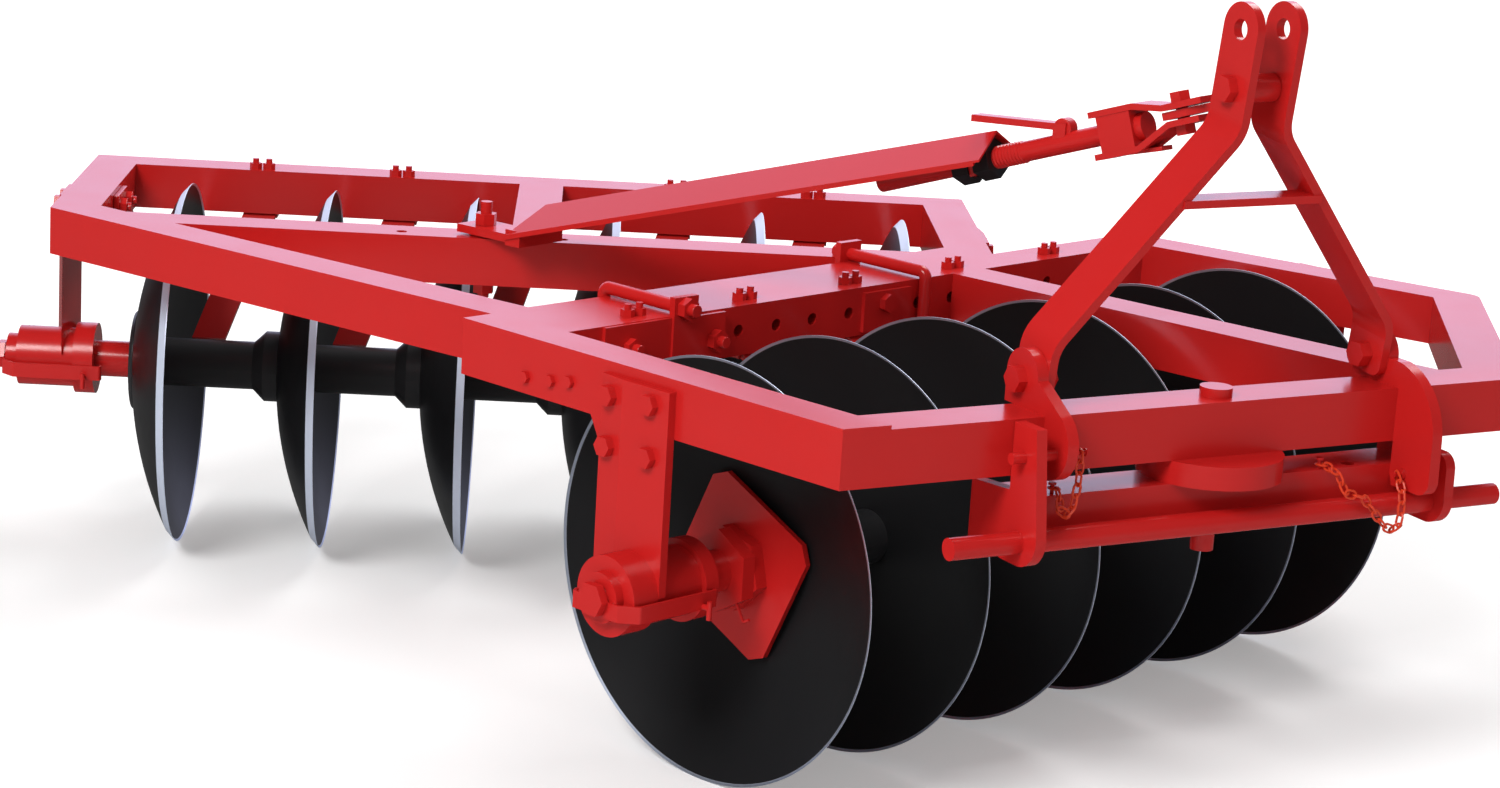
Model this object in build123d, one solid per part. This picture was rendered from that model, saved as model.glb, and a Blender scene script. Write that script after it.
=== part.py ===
from build123d import *
from math import atan2, cos, degrees, radians, sin, sqrt, tan
import os

# Offset disc harrow carried on a tractor's three-point linkage, in millimetres.
# X points forwards, Y to the machine's left, Z up. The discs stand on z = 0, and the
# origin is at the middle of the outline on the ground.

# Discs and gangs
DISC_RADIUS = 280.0
DISC_DISH = 75.0
DISC_THICKNESS = 5.0
DISC_BEVEL = 12.0
DISC_EDGE = 1.2
DISCS_PER_GANG = 6
DISC_SPACING = 222.0
LAST_RIM = DISC_SPACING * (DISCS_PER_GANG - 1)
AXLE_HEIGHT = DISC_RADIUS
SHAFT_RADIUS = 17.0
FIT = 0.05
SPOOL_RADIUS = 37.5
SPOOL_FLANGE_RADIUS = 55.0
SPOOL_FLANGE_LENGTH = 22.0
SPOOL_FLARE = 18.0
BUMPER_RADIUS = 80.0
BUMPER_FACE = 81.0
SLEEVE_RADIUS = 28.0

# Frame: square tubes in one layer above the discs
TUBE = 70.0
FRAME_TOP = 555.0
FRAME_BOTTOM = FRAME_TOP - TUBE
SIDE_TUBE_WIDTH = 64.0
SIDE_TUBE_RISE = 5.0

# The king pin is the place that the rest is measured from.
KING_PIN = (894.065, 118.708)
FRONT_ANGLE = 16.0
REAR_ANGLE = -27.0
FRONT_HUB = (-319.0, -534.0)
REAR_HUB = (-1580.0, -783.0)

# Bearings: rings as (from, to, radius), measured outwards from the end disc's rim plane
NUT_END_RINGS = [(38, 60, 54), (60, 142, 46), (142, 183, 52), (183, 195, 33)]
BUMPER_END_RINGS = [(139, 170, 55), (170, 258, 46), (258, 276, 33)]
END_BOLT = 39.0
END_BOLT_LENGTH = 11.0
STRAP_THICKNESS = 4.0
STRAP_LOW = 258.0
STRAP_HIGH = 280.0
HANGER_THICKNESS = 12.0
HANGER_TOP = 545.0
HANGER_BEHIND = -74.0
HANGER_AHEAD = 52.0

# Hitch
CROSS_SHAFT_RADIUS = 14.0
CROSS_SHAFT_AHEAD = 60.0
CROSS_SHAFT_HEIGHT = 408.0
CROSS_SHAFT_HALF = 425.0
CROSS_SHAFT_SHOULDER = 328.0
CROSS_SHAFT_MIDDLE_RADIUS = 15.0
LOWER_BEAM_TOP = 455.0
LOWER_BEAM_HALF = 312.0
HITCH_PLATE = 15.0
KING_PIN_RADIUS = 15.0
SWIVEL_RADIUS = 93.0
LUG_INSIDE = 267.0
LUG = 16.0
LOCK_PIN_RADIUS = 7.0
LOCK_PIN_RIGHT = (61.0, 514.0)
LOCK_PIN_LEFT = (60.0, 447.0)
CHAIN_STUB_RADIUS = 2.9

# Mast, measured along its own leaning middle line from the ear bolts
EAR_BOLT = (-24.0, 589.0)
EAR_BOLT_RADIUS = 10.0
MAST_LEAN = 7.1
MAST_WIDTH = 68.0
MAST_PLATE = 12.0
MAST_GAP = 53.0
MAST_HOLE = 436.0
MAST_HOLE_RADIUS = 13.0
MAST_LOWER_BEND = 47.0
MAST_UPPER_BEND = 312.0
MAST_FOOT = -23.0
MAST_BEND_RADIUS = 46.0
MAST_BAR = (19.0, 809.0)
MAST_BOLT = (0.0, 362.0)
MAST_BOLT_RADIUS = 10.0
SIDE_GAP = 0.3

# Stay, measured from its foot bolt towards the mast
STAY_FOOT = (-1152.0, -479.0)
STAY_WASHER = 3.0
STAY_FOOT_TOP = FRAME_TOP + STAY_WASHER + 0.3 + 12.0
STAY_SLOPE = 16.0
STAY_RIDGE_START = (118.0, 619.0)
STAY_RIDGE_END = 795.0
STAY_WING = 50.0
STAY_WING_DROP = 34.0
ROD_SLOPE = 18.5
ROD_POINT = (990.0, 837.0)
ROD_RADIUS = 13.5
ROD_TAIL = 715.0
ROD_BLOCK = 1062.0
ROD_BLOCK_LENGTH = 50.0
BLOCK = 46.0
ROD_NUT = 25.0
ROD_NUT_ACROSS = 47.0
NUT_PLATE = 868.0
NUT_PLATE_DEPTH = 9.0
STAY_PLATE = 7.0
FOOT_STUD_RADIUS = 8.5
FOOT_STUD_TOP = 605.0
COUPLING_BOLT = 1168.0
COUPLING_BOLT_RADIUS = 8.0
TONGUE_NECK_LENGTH = 54.0
TONGUE_TAPER_LENGTH = 82.0
TONGUE_NECK_HALF = 8.5

PARTS = {}


def keep(name, *shapes):
    """Fuse the pieces of one sub-part and store them under its name."""
    whole = shapes[0]
    for shape in shapes[1:]:
        whole = whole + shape
    PARTS[name] = whole
    return whole


def king(x, y, z=0.0):
    """A point measured from the king pin."""
    return Vector(KING_PIN[0] + x, KING_PIN[1] + y, z)


class Gang:
    """A row of discs on one shaft. Its own X is square to the shaft and points
    forwards, and its own Y runs along the shaft to the left, from disc 1's rim.
    The dish side is +1 where the dishes bulge to the left, -1 to the right."""

    def __init__(self, hub, angle, dish_side):
        spot = king(*hub)
        self.place = Location((spot.X, spot.Y, 0), (0, 0, angle))
        self.axle = Location((spot.X, spot.Y, AXLE_HEIGHT), (0, 0, angle))
        self.angle = angle
        self.dish_side = dish_side

    def at(self, ahead, along, z=0.0):
        return (self.place * Location((ahead, along, z))).position

    def rim(self, number):
        return DISC_SPACING * (number - 1)


FRONT = Gang(FRONT_HUB, FRONT_ANGLE, +1)
REAR = Gang(REAR_HUB, REAR_ANGLE, -1)


# A plan line is a point on it and its heading in degrees.
def gang_line(gang, ahead):
    return gang.at(ahead, 0), gang.angle + 90


def side_line(gang, along):
    return gang.at(0, along), gang.angle


def shifted(line, left):
    point, heading = line
    a = radians(heading)
    return point + Vector(-sin(a), cos(a), 0) * left, heading


def meet(line_a, line_b):
    (p, ha), (q, hb) = line_a, line_b
    a, b = radians(ha), radians(hb)
    det = cos(a) * sin(b) - sin(a) * cos(b)
    run = ((q.X - p.X) * sin(b) - (q.Y - p.Y) * cos(b)) / det
    return Vector(p.X + run * cos(a), p.Y + run * sin(a), 0)


def plan_block(corners, bottom, top):
    """An upright block whose corners are given in plan."""
    outline = Polyline(*[Vector(c.X, c.Y, bottom) for c in corners], close=True)
    return extrude(make_face(outline), amount=top - bottom, dir=(0, 0, 1))


def member(line, start, end, width=TUBE, bottom=FRAME_BOTTOM, top=FRAME_TOP):
    """A box tube along a plan line, cut off at two other plan lines."""
    left, right = shifted(line, width / 2), shifted(line, -width / 2)
    corners = [meet(left, start), meet(right, start), meet(right, end), meet(left, end)]
    return plan_block(corners, bottom, top)


def gang_block(gang, corners, bottom, top):
    """An upright block whose corners are (ahead, along) in a gang's own plan."""
    return plan_block([gang.at(ahead, along) for ahead, along in corners], bottom, top)


def cylinder_along_y(radius, start, end, x, z):
    """A round bar across the machine, placed from the king pin."""
    low, high = min(start, end), max(start, end)
    spot = king(x, (low + high) / 2, z)
    return Location(spot, (90, 0, 0)) * Cylinder(radius, high - low)


def upright(shape, spot, heading=0.0):
    return Location(spot, (0, 0, heading)) * shape


def hexagon(across_flats, height):
    return extrude(RegularPolygon(across_flats / sqrt(3), 6), amount=height)


def nut_on_stud(across_flats, nut_height, stud_radius, stud_height):
    return hexagon(across_flats, nut_height) + extrude(Circle(stud_radius), amount=stud_height)


def flat_bar(path, thickness, bend):
    """The section of a flat bar with rounded bends, from the line through its middle."""
    return trace(FilletPolyline(*path, radius=bend), line_width=thickness)


def bent_rod(path, radius, bend):
    """A round rod bent in one plane, with the path drawn flat."""
    line = FilletPolyline(*path, radius=bend)
    return sweep(Plane(origin=line @ 0, z_dir=line % 0) * Circle(radius), path=line)


# Frame lines
BEAM_FRONT_AHEAD = -269.0
SPLICE_AHEAD = BEAM_FRONT_AHEAD - TUBE
FRONT_SIDE_ALONG = -98.0
BRACE_ALONG = 753.0
BRACE_TOE = 3.0
LEFT_SIDE_ALONG = 1226.0
LEFT_SIDE_TOE = 9.0
LEFT_END_HEADING = 144.0
REAR_BEAM_AHEAD = -231.0
STAY_BEAM_AHEAD = 243.0
REAR_RIGHT_ALONG = -146.0
REAR_MID_ALONG = 538.0
REAR_LEFT_ALONG = 1191.0
LINK_HEADING = 22.2

hitch_line = (king(0, 0), 90.0)
hitch_front = shifted(hitch_line, -TUBE / 2)
hitch_rear = shifted(hitch_line, TUBE / 2)
splice_front_line = gang_line(FRONT, BEAM_FRONT_AHEAD)
splice_rear_line = gang_line(FRONT, SPLICE_AHEAD)
right_side_line = side_line(FRONT, FRONT_SIDE_ALONG)
right_side_inner = shifted(right_side_line, SIDE_TUBE_WIDTH / 2)
left_side_line = (FRONT.at(0, LEFT_SIDE_ALONG), FRONT_ANGLE + LEFT_SIDE_TOE)
left_end_line = (king(-202, 600), LEFT_END_HEADING)
brace_line = (FRONT.at(0, BRACE_ALONG), FRONT_ANGLE + BRACE_TOE)
rear_beam_line = gang_line(REAR, REAR_BEAM_AHEAD)
stay_beam_line = gang_line(REAR, STAY_BEAM_AHEAD)
rear_right_line = side_line(REAR, REAR_RIGHT_ALONG)
rear_mid_line = side_line(REAR, REAR_MID_ALONG)
rear_left_line = side_line(REAR, REAR_LEFT_ALONG)
link_line = (FRONT.at(SPLICE_AHEAD - TUBE / 2, -32.0), LINK_HEADING)


# Scrapers: a blade hangs from the gang's beam into the hollow of each disc but the end one.
SCRAPER_WIDTH = 52.0
SCRAPER_PLATE = 8.0
SCRAPER_CLAMPS_FRONT = (93.0, 304.0, 517.0, 738.0, 958.0)
SCRAPER_CLAMPS_REAR = (89.0, 313.0, 534.0, 756.0, 978.0)
SCRAPER_TIP_OFFSET = 25.0
SCRAPER_TIP_AHEAD = -75.0
SCRAPER_TIP_HEIGHT = 300.0
SCRAPER_NUT_SPACING = 21.0


def scraper(gang, beam_ahead, clamp, rim, nuts_ahead):
    """A blade with its clamp, and the clamp's two nuts on top of the beam."""
    half = SCRAPER_WIDTH / 2
    tip = rim - gang.dish_side * SCRAPER_TIP_OFFSET
    foot = gang_block(gang, [(beam_ahead - half, clamp - half), (beam_ahead - half, clamp + half),
                             (beam_ahead + half, clamp + half), (beam_ahead + half, clamp - half)],
                      FRAME_BOTTOM - SCRAPER_PLATE, FRAME_BOTTOM)
    blade_outline = Polyline(gang.at(beam_ahead + half - 8, clamp - half, FRAME_BOTTOM - 1),
                             gang.at(beam_ahead + half - 8, clamp + half, FRAME_BOTTOM - 1),
                             gang.at(SCRAPER_TIP_AHEAD, tip + half, SCRAPER_TIP_HEIGHT),
                             gang.at(SCRAPER_TIP_AHEAD, tip - half, SCRAPER_TIP_HEIGHT), close=True)
    pieces = [foot, extrude(make_face(blade_outline), amount=SCRAPER_PLATE)]
    for side in (-1, 1) if nuts_ahead else ():
        spot = gang.at(nuts_ahead, clamp + side * SCRAPER_NUT_SPACING / 2, FRAME_TOP)
        pieces.append(upright(nut_on_stud(17, 10, 5, 17), spot))
    return pieces


# Splice: hooked rods hold the two frames' beams together.
BEAM_HOLES = (265, 339, 411, 486, 631, 704, 777, 850, 923)
BEAM_HOLE_RADIUS = 8.5
BEAM_HOLE_HEIGHT = 520.0
STAY_BEAM_HOLES = ((252, 342), (252, 580))
HOOK_RADIUS = 9.0
HOOK_HEIGHT = 566.0
HOOK_BEND = 11.0
HOOK_RIGHT_ALONG = 150.0
HOOK_LEFT_ALONG = 635.0
BEAM_FACE = BEAM_FRONT_AHEAD + TUBE / 2
SPLICE_FACE = SPLICE_AHEAD - TUBE / 2


def face_plate(gang, ahead, thickness, start, end, low, high):
    """A flat plate on a beam's face, from one place along the row to another."""
    corners = [(ahead, start), (ahead + thickness, start), (ahead + thickness, end), (ahead, end)]
    return gang_block(gang, corners, low, high)


def face_nut(gang, ahead, along, z, across, height, turn=0.0):
    """A nut or bolt head on a face that looks forwards."""
    spot = Location((ahead, along, z), (0, 90, 0))
    return gang.place * spot * Rotation(0, 0, turn) * hexagon(across, height)


def hook_rod(gang, along, path):
    rod = bent_rod(path, HOOK_RADIUS, HOOK_BEND)
    return gang.place * Location((0, along, 0), (90, 0, 0)) * rod


def build_splice_hooks():
    """One hook is screwed up from the front, the other from the rear."""
    clamp = 10.0
    plate = face_plate(FRONT, BEAM_FACE, clamp, 131, 229, 490, 553)
    ear = face_plate(FRONT, BEAM_FACE, clamp, 131, 175, 553, 582)
    behind = SPLICE_FACE - HOOK_RADIUS - 0.2
    rod = hook_rod(FRONT, HOOK_RIGHT_ALONG, [(-209, HOOK_HEIGHT), (behind, HOOK_HEIGHT), (behind, 500)])
    keep("splice_hook_right", plate, ear, rod,
         face_nut(FRONT, BEAM_FACE + clamp, HOOK_RIGHT_ALONG, HOOK_HEIGHT, 27, 13),
         face_nut(FRONT, BEAM_FACE + clamp, 210, 516, 27, 12))
    ear = face_plate(FRONT, SPLICE_FACE - clamp, clamp, 613, 657, 505, 584)
    before = BEAM_FACE + HOOK_RADIUS + 0.2
    rod = hook_rod(FRONT, HOOK_LEFT_ALONG, [(-404, HOOK_HEIGHT), (before, HOOK_HEIGHT), (before, 497)])
    keep("splice_hook_left", ear, rod,
         face_nut(FRONT, SPLICE_FACE - clamp - 14, HOOK_LEFT_ALONG, HOOK_HEIGHT, 27, 14))


def build_frame():
    splice_back = shifted(splice_rear_line, TUBE / 2)
    left_outer = shifted(left_side_line, TUBE / 2)
    link_inner = shifted(link_line, TUBE / 2)
    keep("front_side_tube_right", member(
        right_side_line, gang_line(FRONT, SPLICE_AHEAD - 12), hitch_front, SIDE_TUBE_WIDTH,
        FRAME_BOTTOM, FRAME_TOP + SIDE_TUBE_RISE),
        *side_bolts(FRONT, FRONT_SIDE_ALONG - SIDE_TUBE_WIDTH / 2, -1,
                     [(-224, 507), (-176, 512), (-141, 518)], 14, 6))
    beam = member(hitch_line, right_side_inner, shifted(left_end_line, -TUBE / 2))
    keep("hitch_beam", beam - Location(king(0, 0, FRAME_BOTTOM + TUBE / 2)) * Cylinder(KING_PIN_RADIUS, 2 * TUBE))
    gang_beam = member(splice_front_line, right_side_inner, left_outer)
    front_scrapers = []
    for number, clamp in enumerate(SCRAPER_CLAMPS_FRONT, start=2):
        front_scrapers += scraper(FRONT, BEAM_FRONT_AHEAD, clamp, FRONT.rim(number), BEAM_FRONT_AHEAD + 5)
    holes = [Location(FRONT.at(BEAM_FACE, along, BEAM_HOLE_HEIGHT), (0, 90, FRONT_ANGLE))
             * Cylinder(BEAM_HOLE_RADIUS, 50) for along in BEAM_HOLES]
    pads = [face_plate(FRONT, BEAM_FACE, 6, 10, 130.7, 490, 554),
            face_nut(FRONT, BEAM_FACE + 6, 57, 522, 24, 10),
            face_plate(FRONT, BEAM_FACE, 6, 512, 610, 490, 547),
            face_nut(FRONT, BEAM_FACE + 6, 556, 529, 24, 10)]
    keep("front_gang_beam", gang_beam - holes, *front_scrapers, *pads)
    keep("front_side_tube_left", member(left_side_line, shifted(splice_front_line, -TUBE / 2),
                                        shifted(left_end_line, TUBE / 2)))
    end_tube = member(left_end_line, hitch_rear, left_outer)
    outer_corner = meet(shifted(left_end_line, -TUBE / 2), left_outer)
    rounded_edge = end_tube.edges().filter_by(Axis.Z).sort_by_distance(outer_corner)[0]
    keep("front_end_tube_left", fillet(rounded_edge, 30))
    keep("diagonal_brace", member(brace_line, shifted(splice_front_line, -TUBE / 2), hitch_rear))
    splice = member(splice_rear_line, shifted(link_line, -TUBE / 2), shifted(rear_left_line, TUBE / 2))
    keep("splice_beam", splice)
    keep("link_tube", member(link_line, splice_back, shifted(rear_right_line, -TUBE / 2)))
    stay_beam = member(stay_beam_line, link_inner, shifted(rear_left_line, -TUBE / 2))
    top_holes = [Location(REAR.at(ahead, along, FRAME_TOP)) * Cylinder(8, 60) for ahead, along in STAY_BEAM_HOLES]
    keep("stay_beam", stay_beam - splice - gang_beam - top_holes)
    keep("rear_side_tube_right", member(rear_right_line, shifted(rear_beam_line, TUBE / 2), link_inner))
    keep("rear_side_tube_left", member(rear_left_line, shifted(rear_beam_line, TUBE / 2), splice_back))
    rear_scrapers = []
    for number, clamp in enumerate(SCRAPER_CLAMPS_REAR, start=1):
        nuts = 0 if number == 3 else REAR_BEAM_AHEAD + 20
        rear_scrapers += scraper(REAR, REAR_BEAM_AHEAD, clamp, REAR.rim(number), nuts)
    keep("rear_gang_beam", member(rear_beam_line, shifted(rear_right_line, TUBE / 2),
                                  shifted(rear_left_line, -TUBE / 2)), *rear_scrapers)
    keep("rear_middle_tube", member(rear_mid_line, shifted(rear_beam_line, -TUBE / 2),
                                    shifted(stay_beam_line, TUBE / 2)))


# Turned pieces are drawn as (radius, along) and spun about the shaft.
INNER_SPHERE = (DISC_RADIUS ** 2 + DISC_DISH ** 2) / (2 * DISC_DISH)
OUTER_SPHERE = INNER_SPHERE + DISC_THICKNESS


def dish_depth(radius, sphere):
    """How far a sphere of the dish lies past the rim plane at this radius."""
    return DISC_DISH - INNER_SPHERE + sqrt(sphere ** 2 - radius ** 2)


def dish_point(radius, sphere, rim, side):
    return radius, rim + side * dish_depth(radius, sphere)


def dish_arc(start, end, sphere, rim, side):
    return ThreePointArc(*[dish_point(r, sphere, rim, side) for r in (start, (start + end) / 2, end)])


def spun(edges):
    return revolve(make_face(edges), Axis.Y, 360)


def spun_steps(steps, bore_radius, bore_end):
    """A stepped round body with a blind bore from its first step, drawn outwards."""
    profile = [(bore_radius, steps[0][0])]
    for start, end, radius in steps:
        profile += [(radius, start), (radius, end)]
    profile += [(0, steps[-1][1]), (0, bore_end), (bore_radius, bore_end)]
    return revolve(make_face(Polyline(*profile, close=True)), Axis.Y, 360)


def disc(rim, side):
    bevel = DISC_RADIUS - DISC_BEVEL
    rim_inside = dish_point(DISC_RADIUS, INNER_SPHERE, rim, side)
    rim_outside = (DISC_RADIUS, rim + side * DISC_EDGE)
    return spun([
        dish_arc(SHAFT_RADIUS, DISC_RADIUS, INNER_SPHERE, rim, side),
        Line(rim_inside, rim_outside),
        Line(rim_outside, dish_point(bevel, OUTER_SPHERE, rim, side)),
        dish_arc(bevel, SHAFT_RADIUS, OUTER_SPHERE, rim, side),
        Line(dish_point(SHAFT_RADIUS, OUTER_SPHERE, rim, side),
             dish_point(SHAFT_RADIUS, INNER_SPHERE, rim, side))])


def spool(back_rim, hollow_rim, side):
    """A spool from one disc's back, where its flange seats, into the next one's hollow."""
    seat = dish_point(SPOOL_FLANGE_RADIUS, OUTER_SPHERE, back_rim, side)
    flange_end = seat[1] + side * SPOOL_FLANGE_LENGTH
    tail = dish_point(SPOOL_RADIUS, INNER_SPHERE, hollow_rim, side)
    return spun([
        dish_arc(0, SPOOL_FLANGE_RADIUS, OUTER_SPHERE, back_rim, side),
        Polyline(seat, (SPOOL_FLANGE_RADIUS, flange_end), (SPOOL_RADIUS, flange_end + side * SPOOL_FLARE), tail),
        dish_arc(SPOOL_RADIUS, 0, INNER_SPHERE, hollow_rim, side),
        Line(dish_point(0, INNER_SPHERE, hollow_rim, side), dish_point(0, OUTER_SPHERE, back_rim, side))])


def bumper(rim, side):
    """The round washer against the back of the gang's outermost disc."""
    face = rim + side * BUMPER_FACE
    return spun([
        dish_arc(0, BUMPER_RADIUS, OUTER_SPHERE, rim, side),
        Polyline(dish_point(BUMPER_RADIUS, OUTER_SPHERE, rim, side), (BUMPER_RADIUS, face - side * 5),
                 (BUMPER_RADIUS - 5, face), (0, face), dish_point(0, OUTER_SPHERE, rim, side))])


def bar_on_axle(radius, start, end):
    low, high = min(start, end), max(start, end)
    return Location((0, (low + high) / 2, 0), (90, 0, 0)) * Cylinder(radius, high - low)


def hex_on_axle(across_flats, start, end):
    low, high = min(start, end), max(start, end)
    return Location((0, high, 0), (90, 0, 0)) * hexagon(across_flats, high - low)


NUT_END_SLEEVE = 112.0
BUMPER_END_SLEEVE = 178.0
NUT_PLATE_SIZE = 192.0
NUT_PLATE_CLIP = 19.0
NUT_PLATE_TURN = 25.0
NUT_PLATE_MIDDLE = 54.0
AXLE_NUT = 97.0


def build_gang(prefix, gang):
    side = gang.dish_side
    numbers = range(1, DISCS_PER_GANG + 1)
    for number in numbers:
        keep(f"{prefix}_disc_{number}", gang.axle * disc(gang.rim(number), side))
    spools = []
    for number in numbers[:-1]:
        back, hollow = (number, number + 1) if side > 0 else (number + 1, number)
        spools.append(spool(gang.rim(back), gang.rim(hollow), side))
    nut_rim, bumper_rim = (0.0, LAST_RIM) if side > 0 else (LAST_RIM, 0.0)
    shaft = bar_on_axle(SHAFT_RADIUS, nut_rim + side * DISC_DISH, bumper_rim + side * 80)
    pieces = spools + [bumper(bumper_rim, side)]
    keep(f"{prefix}_spindle", gang.axle * sum(pieces, shaft))

    sleeve = bar_on_axle(SLEEVE_RADIUS, bumper_rim + side * BUMPER_FACE, bumper_rim + side * BUMPER_END_SLEEVE)
    keep(f"{prefix}_bumper_sleeve", gang.axle * sleeve)

    half = NUT_PLATE_SIZE / 2
    plate = Box(NUT_PLATE_SIZE, 8, NUT_PLATE_SIZE)
    plate = chamfer(plate.edges().filter_by(Axis.Y), NUT_PLATE_CLIP)
    plate = Location((0, nut_rim + side * NUT_PLATE_MIDDLE, 0), (0, NUT_PLATE_TURN, 0)) * plate
    washer = spun([
        dish_arc(0, SPOOL_RADIUS, INNER_SPHERE, nut_rim, side),
        Polyline(dish_point(SPOOL_RADIUS, INNER_SPHERE, nut_rim, side), (SPOOL_RADIUS, nut_rim + side * 58),
                 (0, nut_rim + side * 58), dish_point(0, INNER_SPHERE, nut_rim, side))])
    near_nut = Rotation(0, 30, 0) * hex_on_axle(AXLE_NUT, nut_rim + side * 10, nut_rim + side * 31)
    far_nut = Rotation(0, 15, 0) * hex_on_axle(AXLE_NUT, nut_rim + side * 31, nut_rim + side * 50)
    sleeve = bar_on_axle(SLEEVE_RADIUS, nut_rim + side * NUT_PLATE_MIDDLE, nut_rim - side * NUT_END_SLEEVE)
    pieces = [sleeve, plate, washer, near_nut, far_nut]
    if prefix == "front":
        wire = bent_rod([(30, -25), (50, -57), (60, -51)], 2, 3)
        pieces.append(Location((0, nut_rim + side * 14, 0), (90, 0, 0)) * wire)
    keep(f"{prefix}_nut_plate", *[gang.axle * piece for piece in pieces])


def side_bolts(gang, face, out, spots, across=24, height=10):
    """Hexagon heads on a face square to the row; spots are (ahead, height above the floor)."""
    heads = []
    for ahead, z in spots:
        head = Location((ahead, face, z - AXLE_HEIGHT), (-90 * out, 0, 0)) * hexagon(across, height)
        heads.append(gang.axle * head)
    return heads


def housing_strap(gang, rim, out, end):
    """The flat strap that runs along a housing and under its end bolt, with a small T bolt."""
    start, cap = end - 149, end + STRAP_THICKNESS / 2
    path = [(50, start), (58, start), (58, end - 17), (38, cap), (-42, cap), (-47, cap - 9)]
    line = [gang.at(ahead, rim + out * along) for ahead, along in path]
    section = Location((0, 0, STRAP_LOW)) * flat_bar(line, STRAP_THICKNESS, 3)
    t_bolt = [Location((64, rim + out * (start + 24), 262), (0, 90, 0)) * Cylinder(4, 16),
              Location((71, rim + out * (start + 24), 259)) * Cylinder(3.5, 24)]
    strap = extrude(section, amount=STRAP_HIGH - STRAP_LOW, dir=(0, 0, 1))
    return [strap] + [gang.place * piece for piece in t_bolt]


def flat_hanger(gang, rim, out, plate_start):
    """The nut end's hanger is one plate with its rear edge thinned, and a gusset inside."""
    inner, outer = rim + out * plate_start, rim + out * (plate_start + HANGER_THICKNESS)
    thin = outer - out * 5
    plate = gang_block(gang, [(HANGER_AHEAD, inner), (HANGER_AHEAD, outer), (HANGER_BEHIND + 42, outer),
                              (HANGER_BEHIND, thin), (HANGER_BEHIND, inner)], AXLE_HEIGHT + 2, HANGER_TOP)
    gusset = Polyline(*[gang.at(ahead, inner, FRAME_BOTTOM - drop)
                        for ahead, drop in ((-100, 0), (16, 0), (16, 100), (-44, 100))], close=True)
    toward = gang.at(0, -out) - gang.at(0, 0)
    return [plate, extrude(make_face(gusset), amount=10, dir=toward),
            *side_bolts(gang, outer, out, [(20, 524), (20, 457)]),
            *side_bolts(gang, thin, out, [(-56, 520), (-56, 455)], height=14)]


def folded_hanger(gang, rim, out, plate_start):
    """The bumper end's hanger is a flat plate above and a folded web below."""
    inner, outer = rim + out * plate_start, rim + out * (plate_start + HANGER_THICKNESS)
    middle = (inner + outer) / 2
    corners = [(46, inner), (46, outer), (-46, outer), (-46, inner)]
    plate = gang_block(gang, corners, FRAME_BOTTOM - 4, HANGER_TOP)
    web = gang_block(gang, [(50, middle), (-45, middle + out * 20), (-45, middle + out * 9), (16, middle),
                            (-45, middle - out * 4), (-45, middle - out * 15)], AXLE_HEIGHT + 14, FRAME_BOTTOM)
    return [plate, web, *side_bolts(gang, outer, out, [(28, 528), (28, 502), (-28, 528), (-28, 502)])]


def bearing(name, gang, rim, out, rings, bore_end, hanger, strapped):
    """A bearing and its hanger. Out is +1 at the gang's left end and -1 at its right end.
    Distances outwards from the end disc's rim plane turn into places along the gang."""
    steps = [(rim + out * start, rim + out * stop, radius) for start, stop, radius in rings]
    end = rings[-1][1]
    if strapped:
        steps.append((steps[-1][1], steps[-1][1] + out * STRAP_THICKNESS, END_BOLT / 2 - 2))
    body = spun_steps(steps, SLEEVE_RADIUS + FIT, rim + out * bore_end)
    head = hex_on_axle(END_BOLT, steps[-1][1], steps[-1][1] + out * END_BOLT_LENGTH)
    strap = housing_strap(gang, rim, out, end) if strapped else []
    whole = keep(name, gang.axle * (body + head), *hanger, *strap)
    bore = gang.axle * bar_on_axle(SLEEVE_RADIUS + FIT, steps[0][0], rim + out * bore_end)
    PARTS[name] = whole - bore


def build_bearings():
    wedge = LAST_RIM + 186
    bearing("front_nut_bearing", FRONT, 0.0, -1, NUT_END_RINGS, 117, flat_hanger(FRONT, 0.0, -1, 130), True)
    bearing("rear_nut_bearing", REAR, LAST_RIM, 1, NUT_END_RINGS, 115, flat_hanger(REAR, LAST_RIM, 1, 116), False)
    bearing("front_bumper_bearing", FRONT, LAST_RIM, 1, BUMPER_END_RINGS, 180,
            folded_hanger(FRONT, LAST_RIM, 1, 186), False)
    bearing("rear_bumper_bearing", REAR, 0.0, -1, BUMPER_END_RINGS, 180,
            folded_hanger(REAR, 0.0, -1, 181), True)
    outer_face = shifted(left_side_line, TUBE / 2)
    pad_face = side_line(FRONT, wedge)
    ends = [gang_line(FRONT, -46), gang_line(FRONT, 46)]
    corners = [meet(outer_face, ends[0]), meet(outer_face, ends[1]),
               meet(pad_face, ends[1]), meet(pad_face, ends[0])]
    keep("front_wedge_pad", plan_block(corners, FRAME_BOTTOM, HANGER_TOP))


def hitch_profile(edges, y_low, thickness):
    """A plate standing fore and aft; edges are drawn as (ahead, height) from the king pin."""
    face = make_face(edges)
    plate = extrude(face, amount=thickness)
    spot = king(0, y_low + thickness, 0)
    return Location(spot, (90, 0, 0)) * plate


def lug(side, outline):
    """The ear that carries the mast's foot, notched over the hitch beam, with its bolt."""
    y_low = LUG_INSIDE if side > 0 else -LUG_INSIDE - LUG
    plate = hitch_profile(outline, y_low, LUG)
    face = side * (LUG_INSIDE + LUG)
    inside = side * (LUG_INSIDE - 2 * SIDE_GAP - MAST_PLATE)
    ear_x, ear_z = EAR_BOLT
    shank = cylinder_along_y(EAR_BOLT_RADIUS, inside, face, ear_x, ear_z)
    return [plate, shank, hex_across(30, face, face + side * 13, ear_x, ear_z),
            hex_across(30, inside, inside - side * 16, ear_x, ear_z)]


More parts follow.
